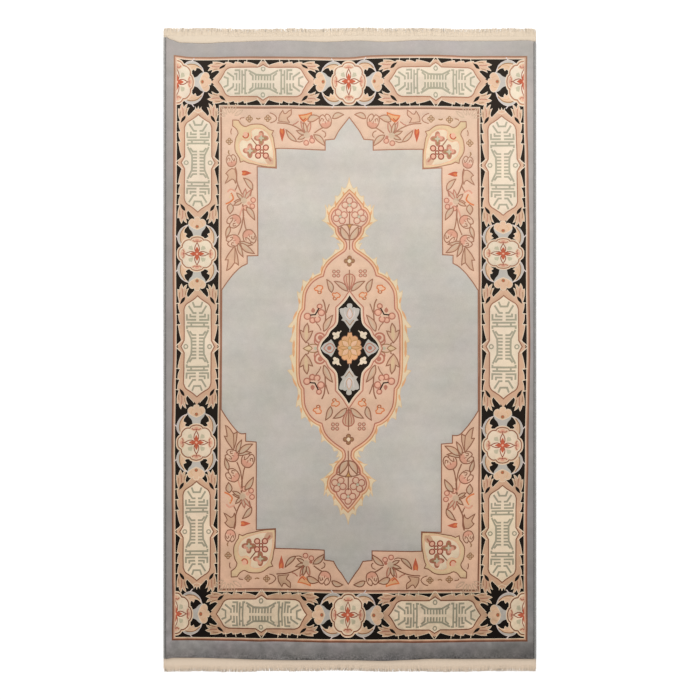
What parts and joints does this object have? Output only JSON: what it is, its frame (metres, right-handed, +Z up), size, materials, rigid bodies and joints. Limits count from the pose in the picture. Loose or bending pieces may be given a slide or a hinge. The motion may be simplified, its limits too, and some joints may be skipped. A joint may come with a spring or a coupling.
{
  "type": "savonnerie rug",
  "caption": "Flat hand-knotted wool pile rug with overcast long sides, flat-woven cotton end webs and a short fringe at both ends.",
  "frame": {"origin": "middle of the rug's footprint, on the floor under it", "axes": "+Y along the rug towards the far end (the picture's top), +X to the right, +Z up out of the pile"},
  "size_m": [1.52, 2.6465, 0.013],
  "materials": {
    "wool_pile": "cut wool pile in grey, black-brown, cream, peach, rust and red, matt with a soft sheen",
    "side_edging": "grey wool yarn overcast round a side cord",
    "cotton_warp": "undyed cotton, plain woven at the ends and loose in the fringe"
  },
  "bodies": {
    "root": {"pile": "wool_pile", "side_cord_left": "side_edging", "side_cord_right": "side_edging", "fringe_far": "cotton_warp", "fringe_near": "cotton_warp"}
  },
  "joints": []
}
